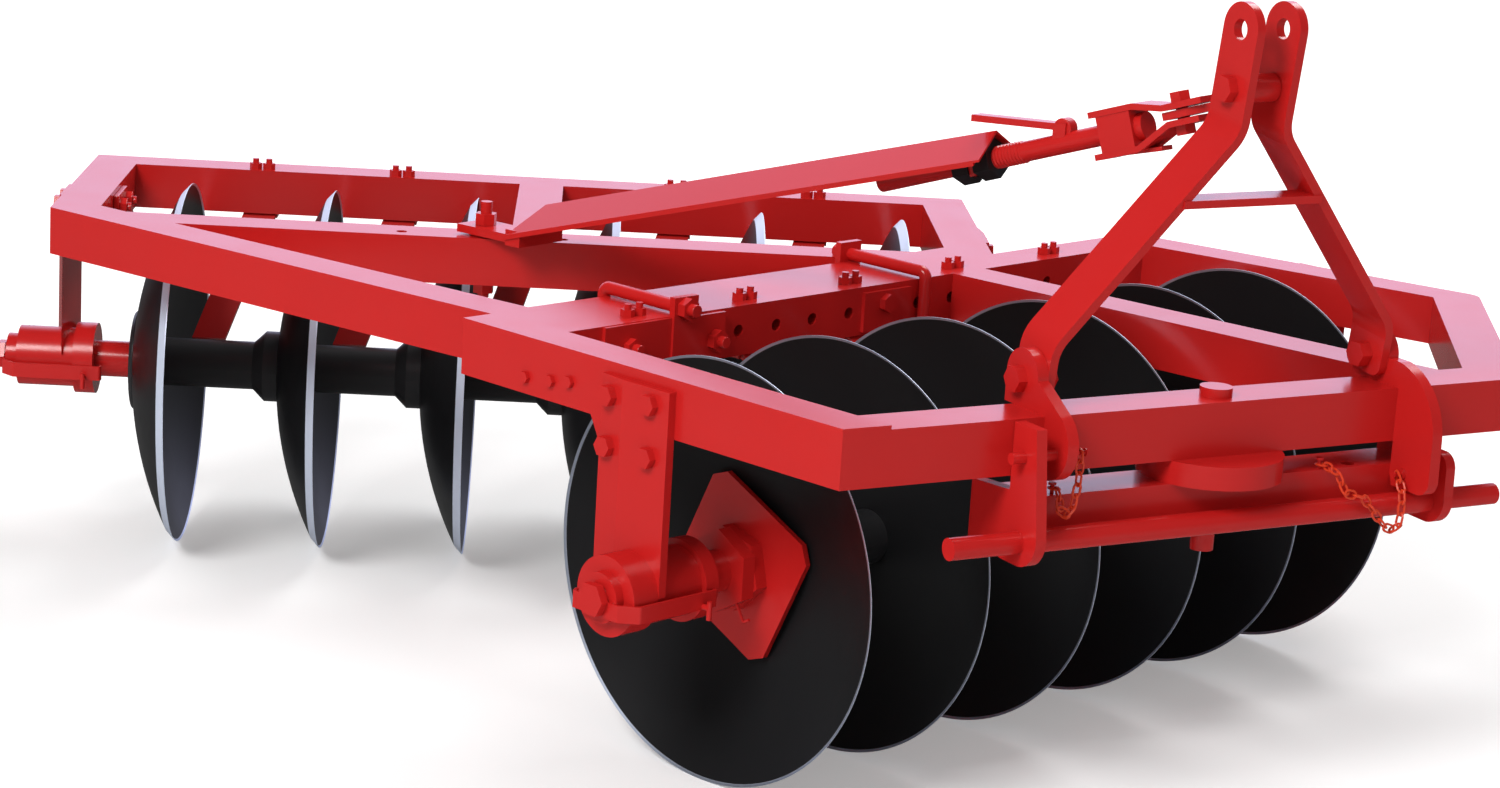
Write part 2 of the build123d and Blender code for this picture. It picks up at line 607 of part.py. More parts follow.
RIGHT_LUG = [
    Line((-54, FRAME_TOP), (-54, 591)),
    ThreePointArc((-54, 591), (-21, 628), (14, 594)),
    Line((14, 594), (66, 563)),
    ThreePointArc((66, 563), (88, 521), (50, 479)),
    Polyline((50, 479), (TUBE / 2, 479), (TUBE / 2, FRAME_TOP), (-54, FRAME_TOP))]
LEFT_LUG = [
    Line((-59, FRAME_TOP), (-59, 589)),
    ThreePointArc((-59, 589), (-24, 624), (11, 589)),
    Line((11, 589), (34, 589)),
    ThreePointArc((34, 589), (88, 558), (110, 503)),
    Line((110, 503), (111, 449)),
    ThreePointArc((111, 449), (105, 433), (89, 427)),
    Polyline((89, 427), (TUBE / 2 + 5, 427), (TUBE / 2, 443), (TUBE / 2, FRAME_TOP), (-59, FRAME_TOP))]
RIGHT_HITCH_PLATE = [
    Polyline((36, 553), (36, 468), (-46, 461), (-46, 385), (30, 379), (60, 379)),
    ThreePointArc((60, 379), (90, 392), (99, 425)),
    Polyline((99, 425), (83, 553), (36, 553))]
LEFT_HITCH_PLATE = [
    Polyline((70, 476), (-46, 476), (-46, 391), (14, 381), (62, 380)),
    ThreePointArc((62, 380), (86, 392), (93, 420)),
    Line((93, 420), (92, 455)),
    ThreePointArc((92, 455), (86, 470), (70, 476))]


def hex_across(across_flats, start, end, x, z):
    low, high = min(start, end), max(start, end)
    return Location(king(x, high, z), (90, 0, 0)) * hexagon(across_flats, high - low)


def build_hitch():
    half = TUBE / 2
    beam_bottom = LOWER_BEAM_TOP - TUBE
    beam = plan_block([king(-half, -LOWER_BEAM_HALF), king(half, -LOWER_BEAM_HALF),
                       king(half, LOWER_BEAM_HALF), king(-half, LOWER_BEAM_HALF)], beam_bottom, LOWER_BEAM_TOP)
    pin_hole = Location(king(0, 0, LOWER_BEAM_TOP)) * Cylinder(KING_PIN_RADIUS, 4 * TUBE)
    end_hole = Location(king(19, 209, LOWER_BEAM_TOP)) * Cylinder(9, 50)
    beam = beam - pin_hole - end_hole
    for _, y, _ in (CHAIN_RIGHT[-1], CHAIN_LEFT[-1]):
        stud = Location(king(26.5, y, LOWER_BEAM_TOP)) * extrude(Circle(2.5), amount=11)
        beam = beam + stud + Location(king(26.5, y, LOWER_BEAM_TOP + 11)) * extrude(Circle(5), amount=3)
    keep("lower_hitch_beam", beam)

    plate_depth = (FRAME_BOTTOM - LOWER_BEAM_TOP) / 2
    for name, bottom in (("lower_swivel_plate", LOWER_BEAM_TOP),
                         ("upper_swivel_plate", LOWER_BEAM_TOP + plate_depth)):
        plate = Location(king(0, 0, bottom + plate_depth / 2)) * Cylinder(SWIVEL_RADIUS, plate_depth)
        keep(name, plate - pin_hole)
    pin_low = 354.0
    pin = Location(king(0, 0, (pin_low + FRAME_TOP) / 2)) * Cylinder(KING_PIN_RADIUS, FRAME_TOP - pin_low)
    head = Location(king(0, 0, FRAME_TOP + 6)) * Cylinder(21, 12)
    keep("king_pin", pin, head)

    shaft_at = (CROSS_SHAFT_AHEAD, CROSS_SHAFT_HEIGHT)
    keep("cross_shaft", cylinder_along_y(CROSS_SHAFT_RADIUS, -CROSS_SHAFT_HALF, CROSS_SHAFT_HALF, *shaft_at),
         cylinder_along_y(CROSS_SHAFT_MIDDLE_RADIUS, -CROSS_SHAFT_SHOULDER, CROSS_SHAFT_SHOULDER, *shaft_at))
    shaft_hole = cylinder_along_y(CROSS_SHAFT_MIDDLE_RADIUS + FIT, -CROSS_SHAFT_HALF, CROSS_SHAFT_HALF, *shaft_at)
    for name, side, outline, pin, ear in (("right", -1, RIGHT_HITCH_PLATE, LOCK_PIN_RIGHT, RIGHT_LUG),
                                          ("left", 1, LEFT_HITCH_PLATE, LOCK_PIN_LEFT, LEFT_LUG)):
        pin_inside, pin_outside, stub = LOCK_PINS[name]
        pin_hole = cylinder_along_y(LOCK_PIN_RADIUS + FIT, side * 250, side * 350, *pin)
        y_low = LOWER_BEAM_HALF if side > 0 else -LOWER_BEAM_HALF - HITCH_PLATE
        keep(f"hitch_plate_{name}", hitch_profile(outline, y_low, HITCH_PLATE) - shaft_hole - pin_hole)
        keep(f"mast_lug_{name}", *lug(side, ear))
        PARTS[f"mast_lug_{name}"] -= pin_hole
        keep(f"lock_pin_{name}", cylinder_along_y(LOCK_PIN_RADIUS, pin_inside, pin_outside, *pin),
             cylinder_along_y(CHAIN_STUB_RADIUS, pin_inside, stub, *pin),
             cylinder_along_y(5, stub, stub - side * 2, *pin))


# Lock pins as (inner end, outer end, end of the stub that holds the chain)
LOCK_PINS = {"right": (-256.0, -346.0, -239.0), "left": (264.0, 336.0, 252.0)}

# A chain link is a bent hexagonal wire. Its path has a straight at each side.
LINK_WIRE = 1.6
LINK_PITCH = 14.9
LINK_PATH = [(5, 0), (5, 4), (3.5, 7.6), (0, 9), (-3.5, 7.6), (-5, 4), (-5, -4), (-3.5, -7.6), (0, -9),
             (3.5, -7.6), (5, -4), (5, 0)]
CHAIN_RIGHT = [(61, -245, 516.9), (60, -243, 480), (60, -247, 455), (62, -252, 437), (60, -266, 437),
               (50, -262, 454), (40, -259, 463), (24, -258, 462)]
CHAIN_LEFT = [(57.8, 258, 448.9), (76, 254, 436), (86, 250, 410), (87, 244, 380), (87, 224, 386),
              (88, 182, 430), (88, 152, 438), (70, 153, 457), (50, 155, 462), (24, 156, 460)]


def chain(points):
    """Links between even joints along a path, each turned a quarter against the last."""
    wire = Plane(origin=LINK_PATH[0], z_dir=(0, 1, 0)) * RegularPolygon(LINK_WIRE, 6)
    link = Rotation(90, 0, 0) * sweep(wire, path=Polyline(*LINK_PATH), transition=Transition.RIGHT)
    path = Polyline(*[king(*point) for point in points])
    count = 2 * round(path.length / LINK_PITCH / 2)
    joints = [path @ (i / count) for i in range(count + 1)]
    links = []
    for i, (start, end) in enumerate(zip(joints, joints[1:])):
        along = (end - start).normalized()
        steep = abs(along.Z) > 0.8
        level = along.cross(Vector(1, 0, 0) if steep else Vector(0, 0, 1)).normalized()
        across = level if i % 2 else level.cross(along)
        links.append(Plane(origin=(start + end) / 2, x_dir=across, z_dir=along).location * link)
    return links


def build_chains():
    keep("lock_chain_right", *chain(CHAIN_RIGHT))
    keep("lock_chain_left", *chain(CHAIN_LEFT))


def mast_frame():
    return Location(king(EAR_BOLT[0], 0, EAR_BOLT[1]), (0, MAST_LEAN, 0))


# Turns a section drawn as (across, up) so that it is extruded forwards.
ACROSS = Plane(origin=(0, 0, 0), x_dir=(0, 1, 0), z_dir=(1, 0, 0)).location


def build_mast():
    """Two bent bars that meet at the top, with a flat bar across them."""
    foot_y = LUG_INSIDE - SIDE_GAP - MAST_PLATE / 2
    top_y = (MAST_GAP + MAST_PLATE) / 2
    top = MAST_HOLE + MAST_WIDTH / 2
    half = MAST_WIDTH / 2
    side_view = make_face([
        Line((-half, MAST_FOOT + 15), (-half, MAST_HOLE)),
        ThreePointArc((-half, MAST_HOLE), (0, top), (half, MAST_HOLE)),
        Line((half, MAST_HOLE), (half, MAST_FOOT + 15)),
        ThreePointArc((half, MAST_FOOT + 15), (half - 4.4, MAST_FOOT + 4.4), (half - 15, MAST_FOOT)),
        Line((half - 15, MAST_FOOT), (-half + 15, MAST_FOOT)),
        ThreePointArc((-half + 15, MAST_FOOT), (-half + 4.4, MAST_FOOT + 4.4), (-half, MAST_FOOT + 15))])
    outline = Location((0, 300, 0), (90, 0, 0)) * extrude(side_view, amount=600)
    place = mast_frame()
    holes = (Location((0, 0, MAST_HOLE), (90, 0, 0)) * Cylinder(MAST_HOLE_RADIUS, 200)
             + Location((MAST_BOLT[0], 0, MAST_BOLT[1]), (90, 0, 0)) * Cylinder(MAST_BOLT_RADIUS, 200)
             + Location((0, 0, 0), (90, 0, 0)) * Cylinder(EAR_BOLT_RADIUS + FIT, 600))
    bars = []
    for side in (-1, 1):
        path = [(side * foot_y, MAST_FOOT - 5), (side * foot_y, MAST_LOWER_BEND),
                (side * top_y, MAST_UPPER_BEND), (side * top_y, top + 5)]
        section = extrude(flat_bar(path, MAST_PLATE, MAST_BEND_RADIUS), amount=MAST_WIDTH)
        bar = Location((-half, 0, 0)) * ACROSS * section
        bars.append((bar & outline) - holes)
    bar_ahead, bar_height = MAST_BAR
    cross_bar = Location(king(bar_ahead, 0, bar_height)) * Box(42, 212, 10)
    keep("mast", place * bars[0], cross_bar, place * bars[1])

    end = MAST_GAP / 2 + MAST_PLATE
    bolt = Location((MAST_BOLT[0], 0, MAST_BOLT[1]), (90, 0, 0)) * Cylinder(MAST_BOLT_RADIUS, 2 * end)
    heads = [Location((MAST_BOLT[0], y, MAST_BOLT[1]), (90, 0, 0)) * hexagon(30, 13)
             for y in (-end, end + 13)]
    keep("mast_bolt", place * (bolt + heads[0] + heads[1]))


def stay_frame():
    eye = mast_frame() * Location((MAST_BOLT[0], 0, MAST_BOLT[1]))
    foot = king(*STAY_FOOT)
    run = eye.position - foot
    return Location(foot, (0, 0, degrees(atan2(run.Y, run.X)))), sqrt(run.X ** 2 + run.Y ** 2), eye.position.Z


def side_profile(points, half_width):
    """A block across the stay, drawn as (along, height) in the stay's own side view."""
    face = make_face(Polyline(*points, close=True))
    return Location((0, half_width, 0), (90, 0, 0)) * extrude(face, amount=2 * half_width)


def rod_height(along):
    return ROD_POINT[1] + (along - ROD_POINT[0]) * tan(radians(ROD_SLOPE))


def on_rod(along):
    """The frame whose X runs up the rod, at a distance from the foot measured in plan."""
    return Location((along, 0, rod_height(along)), (0, -ROD_SLOPE, 0))


def along_rod(shape, at, offset=0.0):
    """A piece that was built standing on Z, laid on the rod's axis pointing up the rod."""
    return on_rod(at) * Location((offset, 0, 0), (0, 90, 0)) * shape


def rod_length(start, end):
    return (end - start) / cos(radians(ROD_SLOPE))


def stay_roof():
    """The stay is a plate folded lengthwise into a shallow roof."""
    wing, drop, thick = STAY_WING, STAY_WING_DROP, STAY_PLATE
    section = Polyline((0, 0), (-wing, -drop), (-wing, -drop - thick), (0, -thick),
                       (wing, -drop - thick), (wing, -drop), close=True)
    start, height = STAY_RIDGE_START
    roof = Location((-80, 0, 0)) * ACROSS * extrude(make_face(section), amount=STAY_RIDGE_END + 80)
    roof = Location((start, 0, height), (0, -STAY_SLOPE, 0)) * roof
    floor = STAY_FOOT_TOP - 4
    return roof & side_profile([(80, floor), (start, height + 2), (1000, 900), (1000, 700), (start, floor)], 80)


def build_stay():
    """The stay with its foot, and the two nuts that clamp the rod to its cross plate."""
    place = stay_frame()[0]
    rod_hole = along_rod(extrude(Circle(ROD_RADIUS + FIT), amount=200), NUT_PLATE, -100)
    cross_section = Polyline((0, 33), (-20, 19), (-20, -18), (20, -18), (20, 19), close=True)
    cross_plate = extrude(make_face(cross_section), amount=NUT_PLATE_DEPTH)
    cross_plate = on_rod(NUT_PLATE) * Location((-NUT_PLATE_DEPTH / 2, 0, 0)) * ACROSS * cross_plate
    foot = (Location((35, 0, STAY_FOOT_TOP - 6)) * Box(130, 60, 12)
            + Location((96, 0, STAY_FOOT_TOP)) * Box(28, 94, 24))
    foot_hole = Location((0, 0, STAY_FOOT_TOP)) * Cylinder(FOOT_STUD_RADIUS + FIT, 60)
    room = extrude(Circle(ROD_NUT_ACROSS / sqrt(3) + 1), amount=2 * ROD_NUT + 12)
    nut_room = along_rod(room, NUT_PLATE, -ROD_NUT - 6)
    keep("stay", place * ((stay_roof() - nut_room + cross_plate + foot) - rod_hole - foot_hole))

    nut = hexagon(ROD_NUT_ACROSS, ROD_NUT)
    for name, offset in (("stay_nut_lower", -NUT_PLATE_DEPTH / 2 - ROD_NUT),
                         ("stay_nut_upper", NUT_PLATE_DEPTH / 2)):
        keep(name, place * (along_rod(nut, NUT_PLATE, offset) - rod_hole))


def build_stay_foot_bolt():
    place = stay_frame()[0]
    washer = Location((0, 0, FRAME_TOP)) * extrude(Circle(24), amount=STAY_WASHER)
    stud = Location((0, 0, FRAME_TOP)) * extrude(Circle(FOOT_STUD_RADIUS), amount=FOOT_STUD_TOP - FRAME_TOP)
    nut = Location((0, 0, STAY_FOOT_TOP + SIDE_GAP)) * hexagon(28, 17)
    keep("stay_foot_bolt", place * (washer + stud + nut))


def build_stay_rod():
    """The screwed rod with its square end block and the flat lever that turns it."""
    place = stay_frame()[0]
    rod = along_rod(extrude(Circle(ROD_RADIUS), amount=rod_length(ROD_TAIL, ROD_BLOCK)), ROD_TAIL)
    block = along_rod(extrude(Rectangle(BLOCK, BLOCK), amount=ROD_BLOCK_LENGTH), ROD_BLOCK)
    stub = along_rod(extrude(Circle(18), amount=11), ROD_BLOCK, ROD_BLOCK_LENGTH)
    lever = side_profile([(858, 849), (985, 856), (985, 843), (1004, 850), (1004, 867),
                          (985, 865), (858, 858)], 11)
    keep("stay_rod", place * (rod + block + stub + lever))


def build_coupling():
    """Two straps grip the block and close on the tongue at one upright bolt."""
    place, reach, eye_height = stay_frame()
    grip = (BLOCK / 2 + 4 + 0.05) / cos(radians(ROD_SLOPE))
    upper = [(1044, rod_height(1044) + grip), (1106, rod_height(1106) + grip), (1150, 908), (1205, 927)]
    lower = [(1060, rod_height(1060) - grip), (1122, rod_height(1122) - grip), (1162, 889), (1205, 904)]
    straps = [Location((0, 24, 0), (90, 0, 0)) * extrude(flat_bar(path, 8, 8), amount=48)
              for path in (upper, lower)]
    tilt = Location((COUPLING_BOLT, 0, 903), (0, -18, 0))
    bolt = tilt * Location((0, 0, -25)) * extrude(Circle(COUPLING_BOLT_RADIUS), amount=52)
    head = tilt * Location((0, 0, 13.5)) * hexagon(24, 14)
    nut = tilt * Location((0, 0, -27)) * hexagon(24, 12)
    keep("stay_coupling", place * (straps[0] + straps[1] + bolt + head + nut))

    # The tongue's eye turns on the mast bolt, which lies straight across the machine.
    eye = Location((reach, 0, eye_height), (0, 0, -place.orientation.Z)) * Rotation(90, 0, 0)
    path = [(1150, 896.6), (1214, 919), (reach - 7, eye_height - 3.5)]
    tongue = Location((0, 19, 0), (90, 0, 0)) * extrude(flat_bar(path, 10, 10), amount=38)
    neck, wide = reach - TONGUE_NECK_LENGTH, reach - TONGUE_TAPER_LENGTH
    taper = Polyline((1140, -19), (wide, -19), (neck, -TONGUE_NECK_HALF), (1300, -TONGUE_NECK_HALF),
                     (1300, TONGUE_NECK_HALF), (neck, TONGUE_NECK_HALF), (wide, 19), (1140, 19), close=True)
    tongue = tongue & (Location((0, 0, 800)) * extrude(make_face(taper), amount=200))
    bolt_hole = tilt * Location((0, 0, -30)) * extrude(Circle(COUPLING_BOLT_RADIUS + FIT), amount=60)
    eye_hole = eye * Cylinder(MAST_BOLT_RADIUS + 1.5, 80)
    keep("stay_tongue", place * (tongue + eye * Cylinder(18, 50) - eye_hole - bolt_hole))


build_frame()
build_splice_hooks()
build_gang("front", FRONT)
build_gang("rear", REAR)
build_bearings()
build_hitch()
build_chains()
build_mast()
build_stay()
build_stay_foot_bolt()
build_stay_rod()
build_coupling()

if __name__ == "__main__":
    os.makedirs("parts", exist_ok=True)
    for name, shape in PARTS.items():
        export_step(shape, f"parts/{name}.step")
    box = Compound(list(PARTS.values())).bounding_box()
    print("low", box.min, "high", box.max)
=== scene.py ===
# %% [markdown]
# # A carried offset disc harrow
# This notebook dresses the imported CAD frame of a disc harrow: twelve dished discs in two
# slanting rows under a red tube frame, with a mast and a screwed stay that hook it to a tractor.
# The CAD pieces hold every size. Blender adds the camera, the light, the enamel, the ground
# edges of the discs and the small fittings that make such a machine look real.

# %% Load the fixed frame
from math import cos, pi, radians, sin, tan

import bmesh
import bpy
from mathutils import Matrix, Vector


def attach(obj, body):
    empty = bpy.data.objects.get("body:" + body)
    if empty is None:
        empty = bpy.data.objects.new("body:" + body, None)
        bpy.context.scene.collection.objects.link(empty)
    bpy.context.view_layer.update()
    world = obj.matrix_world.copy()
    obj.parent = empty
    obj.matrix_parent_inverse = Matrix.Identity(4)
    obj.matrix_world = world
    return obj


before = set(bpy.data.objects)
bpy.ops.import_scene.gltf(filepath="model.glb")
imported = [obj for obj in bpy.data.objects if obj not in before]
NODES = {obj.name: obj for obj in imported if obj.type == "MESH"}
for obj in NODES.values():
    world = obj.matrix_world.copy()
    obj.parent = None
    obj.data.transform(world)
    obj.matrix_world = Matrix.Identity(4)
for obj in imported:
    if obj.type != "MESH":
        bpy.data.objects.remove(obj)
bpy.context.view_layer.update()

# %% [markdown]
# ## Where things are
# Sizes are in metres. X points forwards, Y to the machine's left and Z up. The king pin is the
# upright pin that the hitch turns about, and the main points are measured from it. Each row of
# discs sits on a shaft that slants across the machine. A frame of its own for each row lets
# whatever belongs to the row be placed with plain numbers.

# %% The king pin and the two rows of discs
KING_PIN = Vector((0.894065, 0.118708, 0))
AXLE_HEIGHT = 0.280


def king(x, y, z=0.0):
    """A point given in millimetres from the king pin."""
    return KING_PIN + Vector((x, y, z)) / 1000


class Row:
    """A row of discs. Its own X points forwards, square to the shaft, and its Y to the left.
    The discs bulge along Y where bulge is +1 and against it where bulge is -1."""

    def __init__(self, hub, turn, bulge):
        self.place = Matrix.Translation(king(*hub)) @ Matrix.Rotation(radians(turn), 4, "Z")
        self.bulge = bulge


FRONT = Row((-319, -534), 16, +1)
REAR = Row((-1580, -783), -27, -1)
print("front row starts at", FRONT.place.translation, "rear row at", REAR.place.translation)

# %% [markdown]
# ## The stay's own frame
# The stay is the long bar that props the mast. It slants both sideways and upwards, so its
# pieces are placed from its foot: X runs level towards the mast, and Z is up. Its screwed rod
# climbs at an angle of its own and has a second frame.

# %% Frames for the stay and its rod
STAY_FOOT = king(-1152, -479)
STAY_HEADING = radians(22.2173)
STAY = Matrix.Translation(STAY_FOOT) @ Matrix.Rotation(STAY_HEADING, 4, "Z")
ROD_SLOPE = radians(18.5)
ROD_ALONG, ROD_HEIGHT = 0.990, 0.837
BLOCK_ALONG = 1.062


def on_stay(along, height):
    """The stay's frame, moved to a point above its middle line."""
    return STAY @ Matrix.Translation((along, 0, height))


def rod(along):
    """The frame whose X runs up the stay's screwed rod, at a level distance from the foot."""
    height = ROD_HEIGHT + (along - ROD_ALONG) * tan(ROD_SLOPE)
    return on_stay(along, height) @ Matrix.Rotation(-ROD_SLOPE, 4, "Y")


print("the rod's block is at", rod(BLOCK_ALONG).translation)

# %% [markdown]
# ## The camera
# The camera stands at the machine's front right, a little above it, with a long lens. Its turn
# is built from where it looks (heading and dip) and how far it leans over (roll).

# %% The camera
HEADING, DIP, LEAN = radians(150.0), radians(13.55), radians(3.50)
CAMERA_PLACE = king(3218.3, -2533.8, 1496.7)
FOCAL_LENGTH, SENSOR_WIDTH = 79.35, 36
FARTHEST_SEEN = 100

ahead = Vector((cos(HEADING) * cos(DIP), sin(HEADING) * cos(DIP), -sin(DIP)))
right = Vector((sin(HEADING), -cos(HEADING), 0))
up = right.cross(ahead)
leaning_right = cos(LEAN) * right + sin(LEAN) * up
leaning_up = cos(LEAN) * up - sin(LEAN) * right

lens = bpy.data.cameras.new("studio_camera")
lens.lens = FOCAL_LENGTH
lens.sensor_width = SENSOR_WIDTH
lens.sensor_fit = "HORIZONTAL"
lens.clip_end = FARTHEST_SEEN
camera = bpy.data.objects.new("studio_camera", lens)
bpy.context.scene.collection.objects.link(camera)
turn = Matrix((leaning_right, leaning_up, -ahead)).transposed().to_4x4()
camera.matrix_world = Matrix.Translation(CAMERA_PLACE) @ turn
bpy.context.scene.camera = camera
print("camera at", camera.matrix_world.translation)

# %% [markdown]
# ## Shader nodes in few words
# Materials and the world are made of nodes. Plain calls for each node and each value would fill
# pages, so short helpers add a node, set its sockets and mix two shaders.


# %% Helpers for shader nodes
def new_material(name):
    """A fresh node material and its node tree."""
    material = bpy.data.materials.new(name)
    material.use_nodes = True
    material.node_tree.nodes.clear()
    return material, material.node_tree


def node(tree, kind, **settings):
    """Add a node and set its own settings."""
    made = tree.nodes.new(kind)
    for name, value in settings.items():
        setattr(made, name, value)
    return made


def sockets(made, **values):
    """Set a node's own input sockets. An underscore in a name stands for a blank."""
    for name, value in values.items():
        made.inputs[name.replace("_", " ")].default_value = value
    return made


def mix_shaders(tree, factor, first, second):
    """Mix two shaders: the first where the factor is 0 and the second where it is 1."""
    made = node(tree, "ShaderNodeMixShader")
    for position, socket in enumerate((factor, first, second)):
        tree.links.new(socket, made.inputs[position])
    return made.outputs[0]


# A Mix node has numbers, vectors and colours under the same names, so its colours go by place.
COLOR_A, COLOR_B, COLOR_OUT = 6, 7, 2
WHITE = (1, 1, 1, 1)
print("helpers for nodes ready")

# %% [markdown]
# ## The room
# A studio throws soft white light from all sides. One white world would do that, but its mirror
# image in the gloss would wash out the red. So Light Path tells the rays apart. The camera sees
# full white. The object gets a softer light. The gloss sees what a photographer's boards would
# show it: a bright blue-white wall behind the machine, which shows on the tops of the tubes,
# and dim sides, which keep the upright faces deep in colour.

# %% The room that lights the object and the room that its gloss sees
ROOM_LIGHT = 0.42
BACKDROP = (-0.866, 0.5, 0.0)
BACKDROP_COLOR = (1.30, 1.34, 1.86, 1)
DIM_SIDE_COLOR = (0.02, 0.02, 0.023, 1)
WALL_FADES_FROM, WALL_FADES_TO = 0.45, 0.90
WALL_FOOT, WALL_FOOT_FROM, WALL_FOOT_TO = 0.85, 0.12, 0.30

world = bpy.data.worlds.new("white_room")
bpy.context.scene.world = world
world.use_nodes = True
tree = world.node_tree
tree.nodes.clear()
look = node(tree, "ShaderNodeTexCoord")
towards = node(tree, "ShaderNodeVectorMath", operation="DOT_PRODUCT")
towards.inputs[1].default_value = BACKDROP
fade = sockets(node(tree, "ShaderNodeMapRange", interpolation_type="SMOOTHSTEP"),
               From_Min=WALL_FADES_FROM, From_Max=WALL_FADES_TO)
split = node(tree, "ShaderNodeSeparateXYZ")
lift = sockets(node(tree, "ShaderNodeMapRange"),
               From_Min=WALL_FOOT_FROM, From_Max=WALL_FOOT_TO, To_Min=WALL_FOOT)
wall = node(tree, "ShaderNodeMath", operation="MULTIPLY")
mirrored = node(tree, "ShaderNodeMix", data_type="RGBA")
mirrored.inputs[COLOR_A].default_value = DIM_SIDE_COLOR
mirrored.inputs[COLOR_B].default_value = BACKDROP_COLOR
tree.links.new(look.outputs["Generated"], towards.inputs[0])
tree.links.new(towards.outputs["Value"], fade.inputs["Value"])
tree.links.new(look.outputs["Generated"], split.inputs[0])
tree.links.new(split.outputs["Z"], lift.inputs["Value"])
tree.links.new(fade.outputs["Result"], wall.inputs[0])
tree.links.new(lift.outputs["Result"], wall.inputs[1])
tree.links.new(wall.outputs[0], mirrored.inputs["Factor"])
print("room light", ROOM_LIGHT)

# %% One world for the three kinds of ray
path = node(tree, "ShaderNodeLightPath")
soft_room = sockets(node(tree, "ShaderNodeBackground"), Color=WHITE, Strength=ROOM_LIGHT)
mirror_room = sockets(node(tree, "ShaderNodeBackground"), Strength=1.0)
white_room = sockets(node(tree, "ShaderNodeBackground"), Color=WHITE, Strength=1.0)
seen_white = node(tree, "ShaderNodeMath", operation="MAXIMUM")
tree.links.new(mirrored.outputs[COLOR_OUT], mirror_room.inputs["Color"])
tree.links.new(path.outputs["Is Camera Ray"], seen_white.inputs[0])
tree.links.new(path.outputs["Is Transmission Ray"], seen_white.inputs[1])
unseen = mix_shaders(tree, path.outputs["Is Glossy Ray"], soft_room.outputs[0],
                     mirror_room.outputs[0])
room = mix_shaders(tree, seen_white.outputs[0], unseen, white_room.outputs[0])
tree.links.new(room, node(tree, "ShaderNodeOutputWorld").inputs["Surface"])
bpy.context.scene.view_settings.view_transform = "Standard"
print("world", world.name)

# %% [markdown]
# ## The floor
# The machine stands on a white sheet that runs out into the room. White paint alone would turn
# grey away from the lamps, so the camera sees a glow on top of it. The glow grows with the
# distance from the machine, so the shadows of the discs stay. The gloss sees the floor dim, as
# it sees the sides of the room.

# %% The floor's sheet
FLOOR_SIZE = 60
floor_mesh = bpy.data.meshes.new("floor")
shape = bmesh.new()
bmesh.ops.create_grid(shape, x_segments=1, y_segments=1, size=FLOOR_SIZE / 2)
shape.to_mesh(floor_mesh)
shape.free()
floor = bpy.data.objects.new("floor", floor_mesh)
bpy.context.scene.collection.objects.link(floor)
print("floor of", FLOOR_SIZE, "m")

# %% The floor's paint
FLOOR_COLOR = (0.86, 0.86, 0.86, 1)
NEAR_GLOW, FAR_GLOW = 0.26, 0.80
GLOW_GROWS_FROM, GLOW_GROWS_TO = 1.2, 5.0
FLOOR_IN_GLOSS = 0.16

floor_paint, tree = new_material("floor_paint")
path = node(tree, "ShaderNodeLightPath")
place = node(tree, "ShaderNodeTexCoord")
away = node(tree, "ShaderNodeVectorMath", operation="LENGTH")
glow_here = sockets(node(tree, "ShaderNodeMapRange", interpolation_type="SMOOTHSTEP"),
                    From_Min=GLOW_GROWS_FROM, From_Max=GLOW_GROWS_TO,
                    To_Min=NEAR_GLOW, To_Max=FAR_GLOW)
glow_level = node(tree, "ShaderNodeMath", operation="MULTIPLY")
glow = sockets(node(tree, "ShaderNodeEmission"), Color=WHITE)
matt = sockets(node(tree, "ShaderNodeBsdfDiffuse"), Color=FLOOR_COLOR)
both = node(tree, "ShaderNodeAddShader")
dim = sockets(node(tree, "ShaderNodeEmission"), Color=WHITE, Strength=FLOOR_IN_GLOSS)
tree.links.new(place.outputs["Object"], away.inputs[0])
tree.links.new(away.outputs["Value"], glow_here.inputs["Value"])
tree.links.new(path.outputs["Is Camera Ray"], glow_level.inputs[0])
tree.links.new(glow_here.outputs["Result"], glow_level.inputs[1])
tree.links.new(glow_level.outputs[0], glow.inputs["Strength"])
tree.links.new(matt.outputs[0], both.inputs[0])
tree.links.new(glow.outputs[0], both.inputs[1])
sheet = mix_shaders(tree, path.outputs["Is Glossy Ray"], both.outputs[0], dim.outputs[0])
tree.links.new(sheet, node(tree, "ShaderNodeOutputMaterial").inputs["Surface"])
floor_mesh.materials.append(floor_paint)
print("paint", floor_paint.name)

# %% [markdown]
# ## Two soft lamps
# The room alone would light all faces evenly. Two big round lamps give them different levels
# and lay soft shadows under the discs: the key lamp stands at the front right, on the camera's
# side, and the top lamp hangs behind the machine on its left.

# %% The lamps
LAMP_AIM = Vector((0, 0, 0.4))


def soft_lamp(name, place, size, power):
    """A round area lamp, turned towards the middle of the machine."""
    data = bpy.data.lights.new(name, "AREA")
    data.shape = "DISK"
    data.size = size
    data.energy = power
    lamp = bpy.data.objects.new(name, data)
    aimed = (LAMP_AIM - Vector(place)).to_track_quat("-Z", "Y").to_matrix().to_4x4()
    lamp.matrix_world = Matrix.Translation(place) @ aimed
    bpy.context.scene.collection.objects.link(lamp)


soft_lamp("key_lamp", place=(2.5, -4.5, 4.5), size=2.5, power=260)
soft_lamp("top_lamp", place=(-1.5, 2.5, 5.0), size=3.5, power=160)
print("two lamps")

# %% [markdown]
# ## The ripple of sprayed enamel
# The frame wears a thick glossy red enamel, and the discs and spools a black one. Sprayed paint
# is never quite even: its colour drifts, its gloss has smears, and its skin has a fine ripple.
# Each paint could have these nodes of its own, but they are the same in all, so they form one
# node group that is placed in each material with other values.


